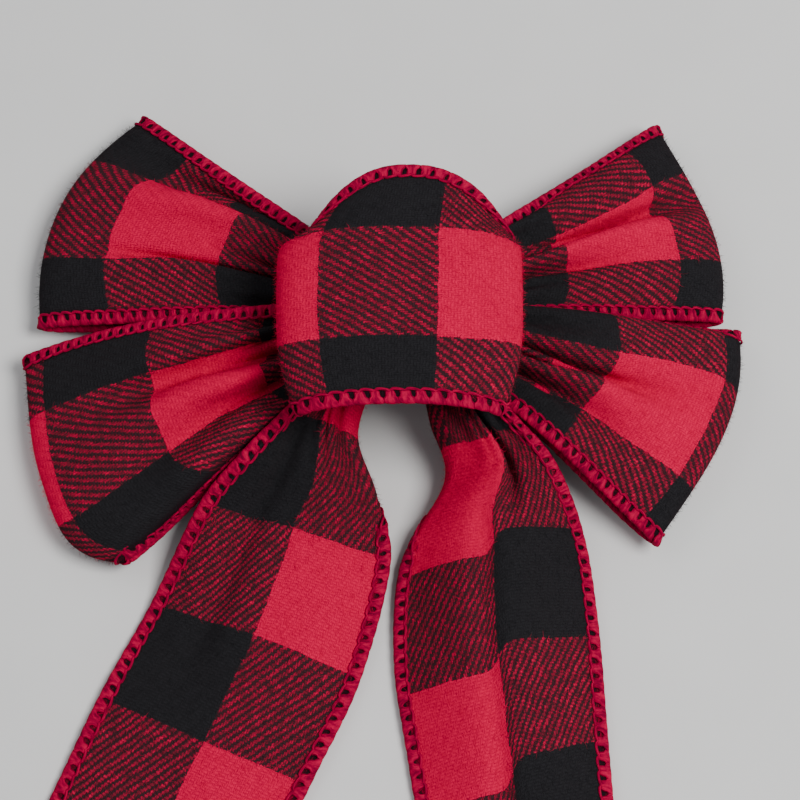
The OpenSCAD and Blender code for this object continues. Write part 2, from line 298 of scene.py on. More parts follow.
# how far its sides droop at the top end and at the low end, its low corners tuck in, and the length
# along the cloth at its crown
TOP_DROOP, LOW_DROOP, LOW_TUCK, CROWN_U = 17, 1.6, 6.5, 21.2
# heights of the back and the front layer of a loop's cloth in the tie
UPPER_LAYERS = (14.9, 17.1)
LOWER_LAYERS = (19.2, 21.4)


def folded_across(height):
    """Where each column of cloth lies over the width once the height folds it. Cloth keeps its own
    width, so it moves on by sqrt(width^2 - rise^2) a column, and the whole is brought to -1 to 1."""
    columns = height.shape[1]
    true = 2 * RIBBON_HALF / MM / (columns - 1)
    rise = np.diff(height, axis=1)
    on = np.sqrt(np.maximum(true**2 - rise**2, (0.22 * true) ** 2))
    place = np.concatenate([np.zeros((len(height), 1)), np.cumsum(on, axis=1)], axis=1)
    return place / place[:, -1:] * 2 - 1


def rolled_under(share, held, radius, amount, wide):
    """An edge at share 0 that rolls under: the last amount of the cloth runs on an arc of the radius.
    Gives the new share of the width and the drop, both for cloth of the true width."""
    rolled = amount * held
    angle = np.maximum(rolled - share, 0) * 2 * RIBBON_HALF / MM / radius
    start = radius * held / wide
    flat = start + (share - rolled) / (1 - rolled) * (1 - start)
    return np.where(share < rolled, start * (1 - np.sin(angle)), flat), radius * (1 - np.cos(angle)) * held


def loop_grid(loop, layers, turn, across):
    """A loop's points in millimetres. The turn runs from 0 at the front of the tie over 180 degrees
    at the fold to 360 behind. The reach from the knot is (1 - cos turn) / 2, and the width fans out
    with it. The height is the layers' middle plus half the depth times sin(turn) and a power of
    sin(turn / 2), with the pleats and gathers on top."""
    top, bottom = np.array(loop["top"], float), np.array(loop["bottom"], float)
    side = np.sign(top[0])
    reach = (1 - np.cos(turn)) / 2
    fan = reach**1.15
    facing = np.clip(np.sin(turn) * 3, -1, 1)
    pleats = 0
    for place, tall, width, far in loop["pleats"]:
        swell = smooth((reach - 0.08) / 0.25) * (1 - smooth((reach - 0.5) / (far - 0.45)))
        depth = np.where(facing > 0, tall, -0.5 * tall) * np.abs(facing)
        pleats = pleats + depth * swell * ridge(across, place, width)
    pleats = pleats + gathers(reach, across, 2.3, 0.62, loop["seat"] + side)
    placed = folded_across(pleats)
    fold = (top + bottom) / 2
    edge = unit(top - bottom)
    outward = np.array([edge[1], -edge[0]]) * np.sign(edge[1] * side)
    share, drop = (placed + 1) / 2, 0
    held = smooth((reach - 0.1) / 0.2) * smooth(np.sin(turn) * 1.4)
    if loop.get("rolled"):
        share, drop = rolled_under(1 - share, held, LOOP_CURL, loop["rolled"], 20 + 40 * reach)
        share = 1 - share
    if loop.get("rolled_low"):
        share, drop = rolled_under(share, held, LOOP_CURL, loop["rolled_low"], 20 + 40 * reach)
    power = np.where(placed < 0, loop.get("low_power", 2), 2)
    bow = loop["bow"] * (1 - np.abs(placed) ** power) * (1 + loop.get("skew", 0) * placed)
    corner = bottom + share[..., None] * (top - bottom) + bow[..., None] * outward
    base = np.array([side * WAIST_GAP / MM, loop["seat"]])
    waist = np.stack([0 * across, (2 * share - 1) * WAIST_HALF / MM], axis=-1)
    plan = (
        base + reach[..., None] * (fold - base) + fan[..., None] * (corner - fold)
        + (1 - fan)[..., None] * waist
    )
    arch = loop.get("arch", 0) * smooth(share) * np.sin(math.pi * reach**2)
    plan = plan + arch[..., None] * edge
    back, front = layers
    sunk = smooth((reach - loop["late"]) / (1 - loop["late"]))
    middle = (back + front) / 2 * (1 - sunk) + loop["height"] * sunk
    opening = loop["half"] * (1 - 0.55 * across**4) * np.sin(turn) * np.sin(turn / 2) ** 4.5
    height = middle + opening + (front - back) / 2 * np.cos(turn / 2) + pleats - drop
    uneven = ripple(plan[..., 0], plan[..., 1], 34, 7 + int(abs(fold[0])))
    height = height + 0.35 * uneven * np.sin(turn / 2) ** 2
    return np.concatenate([plan, height[..., None]], axis=-1)


def both_loops(left, right, layers, rows=150, columns=97):
    """One ribbon with its left and right loop, and its cloth coordinates: along the cloth the length
    from each fold, across it the distance from the middle."""
    turns = np.linspace(0, 2 * math.pi, rows)
    turns = turns + 0.25 * np.sin(2 * turns)
    across = np.linspace(-1, 1, columns)
    turn, wide = np.meshgrid(turns, across, indexing="ij")
    left_grid = loop_grid(left, layers, turn, wide) * MM
    right_grid = loop_grid(right, layers, turn, wide) * MM
    fold_row = rows // 2
    left_u = arc_lengths(left_grid)
    left_u = left["fold_u"] * MM + left_u[fold_row] - left_u
    right_u = arc_lengths(right_grid)
    right_u = right["fold_u"] * MM - right_u[fold_row] + right_u
    grid = np.concatenate([left_grid[::-1], right_grid])
    u = np.concatenate([left_u[::-1], right_u])
    v = np.concatenate([wide, wide]) * RIBBON_HALF
    grid[..., 2] += REST
    return grid, u, v


def centre_grid(rows=181, columns=81):
    """The centre loop: a flattened tube round the turn, barrel-shaped over its width, drawn in at its
    top end and gathered in its middle below, where the tie holds it."""
    turns = np.radians(np.linspace(-178.5, 178.5, rows))
    turn, across = np.meshgrid(turns, np.linspace(-1, 1, columns), indexing="ij")
    top_end = smooth((across - 0.3) / 0.7)
    narrow = 1 - 0.17 * np.abs(across) ** 3
    half_h, middle = (CENTRE_HIGH - CENTRE_LOW) / 2, (CENTRE_HIGH + CENTRE_LOW) / 2
    below = smooth((np.abs(np.degrees(turn)) - 115) / 65)
    x = CENTRE_HALF_W * narrow * signed_power(np.sin(turn), 0.85) + 3 * top_end * np.cos(turn / 2)
    x = x - CENTRE_ASIDE * (1 - below)
    low_end = smooth((-across - 0.3) / 0.7)
    sideways = np.where(np.abs(turn) < math.pi / 2, np.sin(turn) ** 2, 1)
    drop = (TOP_DROOP * top_end + LOW_DROOP * low_end) * sideways * (1 - below)
    tucked = LOW_TUCK * low_end * smooth((np.abs(np.degrees(turn)) - 72) / 45) * (1 - below)
    y = (CENTRE_HALF * across - CENTRE_LOWER) * (1 - 0.8 * below) - drop + tucked
    lower_rims = 1 - 0.12 * np.abs(across) ** 3 * (1 - below)
    z = middle + half_h * lower_rims * signed_power(np.cos(turn), 0.75)
    z = z + 0.5 * ripple(x, y, 40, 3) * (1 - below)
    grid = np.stack([x, y, z], axis=-1) * MM
    grid[..., 2] += REST
    length = arc_lengths(grid)[:, columns // 2]
    along = length - length[rows // 2] + CROWN_U * MM + BAND
    u = np.repeat(along[:, None], columns, axis=1)
    return grid, u, across * RIBBON_HALF


def tail_grid(stations, at, across, curl_end, valleys):
    """A tail's points in millimetres: curves through the stations for both edges, a rounded rise
    between them, a notch cut into the end, and near the knot an inner edge that rolls under: an arc
    of the curl's radius, which holds the last stretch of the cloth's width."""
    outer = curve([s[0] for s in stations], at)
    inner = curve([s[1] for s in stations], at)
    heights = curve([s[2] for s in stations], at)
    before = curve([s[0] for s in stations], np.maximum(at - 0.5, 0))
    along = unit(outer - before + np.array([0, -0.001]))
    cut = NOTCH * (1 - np.abs(across)) * smooth(at - (len(stations) - 2))
    held = smooth((at - 0.5) / 0.8) * (1 - smooth((at - curl_end + 0.8) / 0.8))
    folds = gathers(at / (len(stations) - 1), across, 1.5, 0.42, 0.6)
    for place, deep, width, first, final in valleys:
        fading = smooth(at - first) * (1 - smooth((at - final) / 1.5))
        folds = folds - deep * ridge(across, place, width) * fading
    wide = np.linalg.norm(outer - inner, axis=-1)
    placed = (folded_across(folds) + 1) / 2
    share, drop = rolled_under(placed, held, TAIL_CURL, TAIL_CURL_SHARE, wide)
    share = share[..., None]
    plan = inner + share * (outer - inner) - cut[..., None] * along
    low = heights[..., 2] + share[..., 0] * (heights[..., 0] - heights[..., 2])
    rise = (heights[..., 1] - (heights[..., 0] + heights[..., 2]) / 2) * (1 - across**2) ** 1.5
    rise = rise + folds - drop
    return np.concatenate([plan, (low + rise)[..., None]], axis=-1)


def both_tails(rows=190, columns=97):
    """The tails' ribbon from the left end over the knot to the right end, with its cloth coordinates
    counted along the middle from the fourth station of each tail."""
    last = len(LEFT_TAIL) - 1
    at, across = np.meshgrid(np.linspace(0, last, rows), np.linspace(-1, 1, columns), indexing="ij")
    grids, lengths = [], []
    for stations, direction, curl_end, valleys, mark_at in TAILS:
        grid = tail_grid(stations, at, across, curl_end, valleys)
        grid[..., 2] += 0.4 * ripple(grid[..., 0], grid[..., 1], 38, 11) * smooth((at - 2) / 2)
        grid = grid * MM
        length = arc_lengths(grid)[:, columns // 4]
        mark = np.interp(mark_at, at[:, 0], length)
        slip = 0
        if direction > 0:
            slip = CREASE_SLIP * MM * np.tanh(across / CREASE_WIDTH) * smooth((at - 2) / 1.5)
        along = direction * (length - mark) + BAND
        lengths.append(np.repeat(along[:, None], columns, axis=1) + slip)
        grids.append(grid)
    grid = np.concatenate([grids[0][:0:-1], grids[1]])
    u = np.concatenate([lengths[0][:0:-1], lengths[1]])
    v = np.concatenate([across[:0:-1], across]) * RIBBON_HALF + LANE / 2
    grid[..., 2] += REST
    return grid, u, v


# -------------------- the overlocked edges


def edge_frames(grid, column, step, pitch=None):
    """Evenly spaced points along one long edge of a ribbon, with the directions along the edge, in
    towards the cloth and out of the cloth's front. With a pitch the spacing sways once a stitch,
    so that a coil's turns stand upright on the front."""
    last = grid.shape[1] - 1
    beside = 3 if column == 0 else last - 3
    path = grid[:, column]
    inward = grid[:, beside] - path
    out = normals(grid)[:, column]
    length = path_lengths(path)
    places = np.arange(0, length[-1], step)
    steady = places
    if pitch:
        places = np.clip(places + 0.1 * pitch * np.cos(2 * math.pi * places / pitch), 0, length[-1])

    def at_places(values):
        return np.stack([np.interp(places, length, values[:, k]) for k in range(3)], axis=1)

    points, towards, front = at_places(path), at_places(inward), at_places(out)
    forward = unit(np.gradient(points, axis=0))
    inward = unit(towards - (towards * forward).sum(axis=1, keepdims=True) * forward)
    out = np.cross(forward, inward)
    out = out * np.sign((out * front).sum(axis=1, keepdims=True))
    return steady, points, forward, inward, out


def overlock(grid, column, pitch):
    """The stitches of one edge. A woolly thread coils round the edge, one turn a stitch: it lies on an
    ellipse of the edge's section, wide and flat outside and drawn narrow inside. On each face a
    second thread runs in scallops, an arch from each stitch to the next."""
    per_stitch = 16
    half_reach, half_rise, from_edge = 1.6, 0.78, 0.75  # the coil's ellipse, in millimetres
    s, path, forward, inward, out = edge_frames(grid, column, pitch / per_stitch, pitch)
    phase = 2 * math.pi * s / pitch
    uneven = 1 + 0.06 * np.sin(s / pitch * 2.4) + 0.05 * np.sin(s / pitch * 5.3 + 1)
    cosine, sine = np.cos(phase)[:, None], np.sin(phase)[:, None]
    centre = path + inward * (from_edge + half_reach * cosine) * MM + out * half_rise * sine * MM
    radial = unit(inward * cosine / half_reach + out * sine / half_rise)
    outer = smooth(((1 - np.cos(phase)) / 2 - 0.42) / 0.38)
    rough = 1 + 0.05 * np.random.default_rng(5).standard_normal(len(phase))
    wide = (0.345 + 0.285 * outer) * pitch * uneven * rough
    parts = [tube_arrays(centre, forward, radial, wide, 0.38 * MM * rough, 8)]
    for face in (1, -1):
        arch = np.abs(np.sin(phase / 2 - 0.25))[:, None]
        thread = path + inward * (2.15 + 0.55 * arch) * MM + out * face * (0.74 + 0.1 * arch) * MM
        parts.append(tube_arrays(thread, inward, out, 0.4 * MM, 0.36 * MM, 6))
    return parts


def edge_wire(grid, column):
    """The thin wire under an overlocked edge, just inside it."""
    _, path, _, inward, out = edge_frames(grid, column, 2 * MM)
    path = path + inward * EDGE_WIRE_RADIUS
    return tube_arrays(path, inward, out, EDGE_WIRE_RADIUS, EDGE_WIRE_RADIUS, 8)


def nap_fibres(name, grid, u, v, count, seed):
    """The brushed nap: thin curved hairs at seeded places on both faces of the cloth. A hair starts at
    the surface, leans over by a turned direction along the cloth and lifts by the square of the way
    along it. It has the cloth coordinates of its root, so it has the colour of the thread below."""
    rng = np.random.default_rng(seed)
    rows, columns = grid.shape[:2]
    i, k = rng.integers(1, rows - 2, count), rng.integers(2, columns - 3, count)
    a, b = rng.random((2, count, 1))

    def between(values):
        low = values[i, k] * (1 - b) + values[i, k + 1] * b
        high = values[i + 1, k] * (1 - b) + values[i + 1, k + 1] * b
        return low * (1 - a) + high * a

    root, out = between(grid), unit(between(normals(grid)))
    face = np.where(rng.random((count, 1)) < 0.8, 1, -1)
    out = out * face
    along = unit(grid[i + 1, k] - grid[i, k])
    over = np.cross(out, along)
    turned = rng.normal(0, 1, (count, 1)) * 0.9 + rng.integers(0, 2, (count, 1)) * math.pi
    lean = along * np.cos(turned) + over * np.sin(turned)
    sideways = np.cross(out, lean)
    long = rng.uniform(0.8, 2.1, (count, 1)) * MM
    lift = rng.uniform(0.39, 1.15, (count, 1)) ** 2 * MM
    bend = rng.normal(0, 0.35, (count, 1)) * long
    points = []
    for t, half_w in ((0, 0.045), (0.35, 0.04), (0.7, 0.03)):
        middle = root + out * (CLOTH_T / 2 + lift * t**1.4) + lean * long * t + sideways * bend * t * t
        points += [middle - sideways * half_w * MM, middle + sideways * half_w * MM]
    points.append(root + out * (CLOTH_T / 2 + lift) + lean * long + sideways * bend)
    points = np.stack(points, axis=1)
    start = 7 * np.arange(count)[:, None]
    quads = np.concatenate([start + np.array([[0, 1, 3, 2]]), start + np.array([[2, 3, 5, 4]])])
    tips = start + np.array([[4, 5, 6]])
    place = np.concatenate([between(u[..., None]), between(v[..., None])], axis=1)
    coordinates = np.repeat(place[:, None], 7, axis=1)
    return mesh_piece(name, points, quads.tolist() + tips.tolist(), coordinates)


# -------------------- materials


class Wiring:
    """Short calls for building a node tree."""

    def __init__(self, tree):
        self.tree = tree

    def node(self, kind, links=None, **settings):
        made = self.tree.nodes.new(kind)
        for key, value in settings.items():
            setattr(made, key, value)
        for key, value in (links or {}).items():
            self.feed(made.inputs[key], value)
        return made

    def feed(self, target, value):
        if isinstance(value, bpy.types.NodeSocket):
            self.tree.links.new(value, target)
        else:
            target.default_value = value

    def math(self, operation, *values, clamp=False):
        made = self.node("ShaderNodeMath", operation=operation, use_clamp=clamp)
        for slot, value in enumerate(values):
            self.feed(made.inputs[slot], value)
        return made.outputs[0]

    def plus(self, first, second, clamp=False):
        return self.math("ADD", first, second, clamp=clamp)

    def times(self, first, second):
        return self.math("MULTIPLY", first, second)

    def blend(self, share, first, second):
        made = self.node("ShaderNodeMix", data_type="RGBA")
        self.feed(made.inputs["Factor"], share)
        self.feed(made.inputs["A"], first)
        self.feed(made.inputs["B"], second)
        return made.outputs["Result"]

    def span(self, value, low, high, to_low=0.0, to_high=1.0):
        made = self.node("ShaderNodeMapRange", interpolation_type="SMOOTHSTEP")
        names = ("Value", "From Min", "From Max", "To Min", "To Max")
        for key, number in zip(names, (value, low, high, to_low, to_high)):
            self.feed(made.inputs[key], number)
        return made.outputs["Result"]

    def noise(self, vector, scale, detail=2.0, roughness=0.5, stretch=(1, 1, 1)):
        moved = self.node("ShaderNodeMapping", {"Vector": vector, "Scale": stretch})
        return self.node(
            "ShaderNodeTexNoise",
            {"Vector": moved.outputs[0], "Scale": scale, "Detail": detail, "Roughness": roughness},
        ).outputs["Fac"]


COLOUR, FLOAT, VECTOR = "NodeSocketColor", "NodeSocketFloat", "NodeSocketVector"


def new_group(name, inputs, outputs):
    """An empty node group with named sockets, its wiring helper and its two ends."""
    tree = bpy.data.node_groups.new(name, "ShaderNodeTree")
    for label, kind, value in inputs:
        made = tree.interface.new_socket(name=label, in_out="INPUT", socket_type=kind)
        if value is not None:
            made.default_value = value
    for label, kind in outputs:
        tree.interface.new_socket(name=label, in_out="OUTPUT", socket_type=kind)
    wiring = Wiring(tree)
    return tree, wiring, wiring.node("NodeGroupInput"), wiring.node("NodeGroupOutput")


def linear(red, green, blue):
    """A display colour from 0 to 255 as a linear colour."""
    parts = [((c / 255 + 0.055) / 1.055) ** 2.4 if c > 10 else c / 255 / 12.92 for c in (red, green, blue)]
    return (*parts, 1.0)


def twill_check_group():
    """Check cloth in a two and two twill. The cloth is cut into cells, one per crossing of two threads.
    The thread along the cloth lies on top in two cells of each four, a cell further on in each row.
    Where both threads are red the cloth is red, where one is, its floats show dulled by the nap."""
    tree, w, ins, outs = new_group(
        "woven check",
        [
            ("Cloth", VECTOR, None),
            ("Lane", FLOAT, LANE),
            ("Band", FLOAT, BAND),
            ("Red", COLOUR, (0.55, 0.0, 0.046, 1)),
            ("Black", COLOUR, (0.0142, 0.0137, 0.0152, 1)),
        ],
        [("Colour", COLOUR), ("Height", FLOAT), ("Nap", FLOAT)],
    )
    cloth = ins.outputs["Cloth"]

    def wander(scale, amount):
        noise = w.node("ShaderNodeTexNoise", {"Vector": cloth, "Scale": scale, "Detail": 2.0})
        centred = w.node("ShaderNodeVectorMath", operation="SUBTRACT")
        w.feed(centred.inputs[0], noise.outputs["Color"])
        w.feed(centred.inputs[1], (0.5, 0.5, 0.5))
        scaled = w.node("ShaderNodeVectorMath", operation="SCALE")
        w.feed(scaled.inputs[0], centred.outputs[0])
        w.feed(scaled.inputs["Scale"], amount)
        return scaled.outputs[0]

    moved = cloth
    for scale, amount in ((45, 1.6 * MM), (330, 0.8 * MM), (2400, 0.85 * MM)):
        total = w.node("ShaderNodeVectorMath", operation="ADD")
        w.feed(total.inputs[0], moved)
        w.feed(total.inputs[1], wander(scale, amount))
        moved = total.outputs[0]
    parts = w.node("ShaderNodeSeparateXYZ", {"Vector": moved})
    along, over = parts.outputs["X"], parts.outputs["Y"]
    half = w.times(ins.outputs["Lane"], 0.5)
    lane_at = w.math("DIVIDE", w.plus(over, half), w.times(ins.outputs["Lane"], 2.0))
    band_at = w.math("DIVIDE", along, w.times(ins.outputs["Band"], 2.0))
    lane = w.math("LESS_THAN", w.math("FRACT", lane_at), 0.5)
    band = w.math("LESS_THAN", w.math("FRACT", band_at), 0.5)
    column, row = w.math("DIVIDE", along, WEFT_STEP), w.math("DIVIDE", over, WARP_STEP)
    step = w.plus(w.math("FLOOR", column), w.math("FLOOR", row))
    top = w.math("LESS_THAN", w.math("FRACT", w.math("DIVIDE", step, 4.0)), 0.47)

    def roundness(place):
        part = w.math("FRACT", place)
        return w.times(w.times(part, w.math("SUBTRACT", 1.0, part)), 4.0)

    float_over = w.times(top, roundness(row))
    float_across = w.times(w.math("SUBTRACT", 1.0, top), roundness(column))
    thread = w.plus(float_over, float_across)
    both = w.times(lane, band)
    either = w.math("ABSOLUTE", w.math("SUBTRACT", lane, band))
    on_top = w.plus(w.times(lane, top), w.times(band, w.math("SUBTRACT", 1.0, top)))
    nap = w.noise(cloth, 1500, 3, 0.7, (0.55, 1.4, 1))
    tufts = w.noise(cloth, 330, 3, 0.65)
    patches = w.noise(cloth, 60, 2)
    streaks = w.math(
        "MAXIMUM", w.noise(moved, 1900, 1, 0.5, (0.22, 1, 1)), w.noise(moved, 1900, 1, 0.5, (1, 0.3, 1))
    )
    vivid = w.times(w.span(tufts, 0.3, 0.7, 0.36, 1.1), w.span(nap, 0.3, 0.7, 0.25, 0.9))
    vivid = w.times(vivid, w.span(streaks, 0.4, 0.7, 0.45, 1.15))
    shown = w.plus(w.times(on_top, vivid), 0.036)
    redness = w.plus(both, w.times(either, shown), clamp=True)
    colour = w.blend(redness, ins.outputs["Black"], ins.outputs["Red"])
    shade = w.plus(w.times(nap, 0.5), w.times(tufts, 0.3))
    # the thread term brightens each thread's crown and darkens its borders: painted light and shade of the
    # round threads, added to the nap's uneven tone
    shade = w.plus(shade, w.times(thread, 0.27))
    shade = w.plus(shade, w.times(patches, 0.16))
    value = w.plus(shade, 0.37)
    colour = w.node("ShaderNodeHueSaturation", {"Color": colour, "Value": value}).outputs[0]
    height = w.plus(w.times(thread, 0.55), w.times(nap, 0.8))
    w.feed(outs.inputs["Colour"], colour)
    w.feed(outs.inputs["Height"], w.plus(height, w.times(tufts, 0.5)))
    w.feed(outs.inputs["Nap"], nap)
    return tree


def fibre_group():
    """Strands of a fibrous surface: noise drawn out along one direction, in a colour that it varies."""
    tree, w, ins, outs = new_group(
        "fibres",
        [
            ("Place", VECTOR, None),
            ("Scale", FLOAT, 1000.0),
            ("Drawn out", VECTOR, (1.0, 1.0, 1.0)),
            ("Dark", COLOUR, (0.1, 0.1, 0.1, 1)),
            ("Light", COLOUR, (0.5, 0.5, 0.5, 1)),
        ],
        [("Colour", COLOUR), ("Height", FLOAT), ("Roughness", FLOAT)],
    )
    place = w.node("ShaderNodeVectorMath", operation="MULTIPLY")
    w.feed(place.inputs[0], ins.outputs["Place"])
    w.feed(place.inputs[1], ins.outputs["Drawn out"])
    strands = w.node(
        "ShaderNodeTexNoise",
        {"Vector": place.outputs[0], "Scale": ins.outputs["Scale"], "Detail": 4.0, "Roughness": 0.65},
    ).outputs["Fac"]
    patches = w.node(
        "ShaderNodeTexNoise", {"Vector": ins.outputs["Place"], "Scale": 180.0, "Detail": 2.0}
    ).outputs["Fac"]
    cloudy = w.times(w.math("SUBTRACT", patches, 0.5), 0.5)
    share = w.plus(w.span(strands, 0.3, 0.7), cloudy, clamp=True)
    w.feed(outs.inputs["Colour"], w.blend(share, ins.outputs["Dark"], ins.outputs["Light"]))
    w.feed(outs.inputs["Height"], strands)
    w.feed(outs.inputs["Roughness"], w.span(patches, 0.2, 0.8, 0.7, 0.95))
    return tree


WOVEN_CHECK = twill_check_group()
FIBRES = fibre_group()
PINK = (1.0, 0.3, 0.4, 1)
MAROON = (0.12, 0.0, 0.016, 1)
CRIMSON = (0.47, 0.0, 0.046, 1)


def new_material(name):
    """A material with one shader, its wiring helper and the shader."""
    material = bpy.data.materials.new(name)
    material.use_nodes = True
    material.node_tree.nodes.clear()
    w = Wiring(material.node_tree)
    shader = w.node("ShaderNodeBsdfPrincipled")
    w.node("ShaderNodeOutputMaterial", {"Surface": shader.outputs[0]})
    return material, w, shader


def group_node(w, tree, values):
    """A group placed in a tree with its inputs set."""
    made = w.node("ShaderNodeGroup", node_tree=tree)
    for key, value in values.items():
        w.feed(made.inputs[key], value)
    return made


def bumped(w, shader, height, distance, strength=1.0):
    """Feeds a height to the shader's normal through a Bump node."""
    bump = w.node("ShaderNodeBump", {"Height": height, "Distance": distance, "Strength": strength})
    w.feed(shader.inputs["Normal"], bump.outputs[0])


def sheen(shader, weight, roughness, tint=None):
    """The soft rim light of loose fibres."""
    shader.inputs["Sheen Weight"].default_value = weight
    shader.inputs["Sheen Roughness"].default_value = roughness
    if tint:
        shader.inputs["Sheen Tint"].default_value = tint


def flannel_material():
    material, w, shader = new_material("check flannel")
    cloth = w.node("ShaderNodeUVMap", uv_map="Cloth").outputs[0]
    woven = group_node(w, WOVEN_CHECK, {"Cloth": cloth})
    # painted shade: the rim under the stitches is blended towards dark maroon in place of the stitches'
    # shade
    stitch_shade = w.node("ShaderNodeAttribute", attribute_name="painted stitch shade").outputs["Fac"]
    shaded = w.blend(w.times(stitch_shade, 0.85), woven.outputs["Colour"], linear(30, 14, 20))
    w.feed(shader.inputs["Base Color"], shaded)
    w.feed(shader.inputs["Roughness"], w.span(woven.outputs["Nap"], 0.2, 0.8, 0.85, 1.0))
    sheen(shader, 0.02, 0.4, PINK)
    shader.inputs["Specular IOR Level"].default_value = 0.02
    bumped(w, shader, woven.outputs["Height"], 0.35 * MM, 0.8)
    return material


def thread_material():
    """Crimson fibres drawn out along the thread."""
    material, w, shader = new_material("woolly overlock thread")
    cloth = w.node("ShaderNodeUVMap", uv_map="Cloth").outputs[0]
    fibres = group_node(
        w,
        FIBRES,
        {"Place": cloth, "Scale": 900.0, "Drawn out": (0.35, 2.4, 1.0), "Dark": MAROON, "Light": CRIMSON},
    )
    w.feed(shader.inputs["Base Color"], fibres.outputs["Colour"])
    w.feed(shader.inputs["Roughness"], fibres.outputs["Roughness"])
    sheen(shader, 0.02, 0.4, PINK)
    shader.inputs["Specular IOR Level"].default_value = 0.05
    bumped(w, shader, fibres.outputs["Height"], 0.3 * MM, 1.0)
    return material


def felt_material():
    """Short matted fibres in dark grey."""
    material, w, shader = new_material("wool felt")
    place = w.node("ShaderNodeTexCoord").outputs["Object"]
    dark, light = linear(20, 20, 22), linear(52, 51, 54)
    fibres = group_node(
        w,
        FIBRES,
        {"Place": place, "Scale": 1400.0, "Drawn out": (1.0, 0.5, 1.0), "Dark": dark, "Light": light},
    )
    w.feed(shader.inputs["Base Color"], fibres.outputs["Colour"])
    w.feed(shader.inputs["Roughness"], fibres.outputs["Roughness"])
    sheen(shader, 0.3, 0.5)
    bumped(w, shader, fibres.outputs["Height"], 0.25 * MM, 0.8)
    return material


def metal_material(name, dark, light, rough_low, rough_high, drawn_out):
    """Plated steel: fine scratches drawn out along the metal and a cloudy polish."""
    material, w, shader = new_material(name)
    place = w.node("ShaderNodeTexCoord").outputs["Object"]
    fibres = group_node(
        w, FIBRES, {"Place": place, "Scale": 2200.0, "Drawn out": drawn_out, "Dark": dark, "Light": light}
    )
    cloudy = w.noise(place, 220, 3)
    w.feed(shader.inputs["Base Color"], fibres.outputs["Colour"])
    w.feed(shader.inputs["Roughness"], w.span(cloudy, 0.3, 0.7, rough_low, rough_high))
    shader.inputs["Metallic"].default_value = 1.0
    bumped(w, shader, fibres.outputs["Height"], 0.02 * MM, 0.5)
    return material


def glue_material():
    """Milky, waxy glue."""
    material, w, shader = new_material("hot glue")
    place = w.node("ShaderNodeTexCoord").outputs["Object"]
    cloudy = w.noise(place, 300, 3)
    w.feed(shader.inputs["Base Color"], w.blend(cloudy, linear(196, 188, 160), linear(232, 228, 210)))
    w.feed(shader.inputs["Roughness"], w.span(cloudy, 0.2, 0.8, 0.25, 0.5))
    shader.inputs["Subsurface Weight"].default_value = 0.3
    shader.inputs["Subsurface Radius"].default_value = (0.002, 0.002, 0.0015)
    bumped(w, shader, cloudy, 0.2 * MM, 0.4)
    return material


FLANNEL = flannel_material()
THREAD = thread_material()
FELT = felt_material()
GLUE = glue_material()
NICKEL = metal_material(
    "nickel plate", linear(168, 168, 170), linear(214, 213, 210), 0.16, 0.34, (0.15, 1.0, 1.0)
)
WIRE = metal_material(
    "drawn wire", linear(120, 120, 122), linear(186, 185, 182), 0.25, 0.42, (0.4, 1.0, 1.0)
)


def dressed(piece, material, body, slot, *nodes):
    """Gives a piece its material, the body it rides on and the CAD nodes it stands for; slot is not used.
    """
    piece.data.materials.append(material)
    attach(piece, body)
    if nodes:
        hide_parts(*nodes)
    return piece


# -------------------- the ribbons and their edges

# each ribbon's grid with its cloth coordinates, how it is held, and the pitch of its stitches
RIBBONS = {
    "upper_loops": (both_loops(UPPER_LEFT, UPPER_RIGHT, UPPER_LAYERS), "folded", LOOP_PITCH),
    "lower_loops": (both_loops(LOWER_LEFT, LOWER_RIGHT, LOWER_LAYERS), "folded", LOOP_PITCH),
    "centre_loop": (centre_grid(), "folded", TAIL_PITCH),
    "tails": (both_tails(), "laid", TAIL_PITCH),
}
for number, (name, ((grid, u, v), held, pitch)) in enumerate(RIBBONS.items()):
    ribbon = dressed(cloth_piece(f"{name}_ribbon", grid, u, v), FLANNEL, "bow", "check_flannel", name)
    threads = tube_piece(f"{name}_overlock", overlock(grid, 0, pitch) + overlock(grid, -1, pitch))
    dressed(threads, THREAD, "bow", "overlock_thread", f"{name}_edging")
    wires = tube_piece(f"{name}_edge_wires", [edge_wire(grid, 0), edge_wire(grid, -1)])
    dressed(wires, WIRE, "bow", "edge_wire", f"{name}_wires")
    length = float(arc_lengths(grid)[-1].mean())
    count = int(length * 2 * RIBBON_HALF / MM**2 * HAIRS_PER_MM2)
    nap = nap_fibres(f"{name}_nap", grid, u, v, count, 20 + number)
    dressed(nap, FLANNEL, "bow", "check_flannel")

# -------------------- the knot, the felt and the clip


def tie_path():
    """One wire wound round the gathered ribbons: a rounded box in Y and Z, moving along X."""
    low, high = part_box("tie_wire")
    turn = np.linspace(0, TIE_TURNS * 2 * math.pi, 240)
    half_y = (high.y - low.y) / 2 - TIE_RADIUS
    half_z = (high.z - low.z) / 2 - TIE_RADIUS
    x = np.interp(turn, [0, turn[-1]], [-1.1 * MM, 1.1 * MM])
    y = half_y * signed_power(np.cos(turn), 0.35)
    z = (high.z + low.z) / 2 + half_z * signed_power(np.sin(turn), 0.35)
    return np.stack([x, y, z], axis=1)


def tie_wire():
    """The wire of the knot."""
    return tube_piece("tie_wire_wound", [free_tube(tie_path(), TIE_RADIUS, 10, (1.0, 0.0, 0.0))])


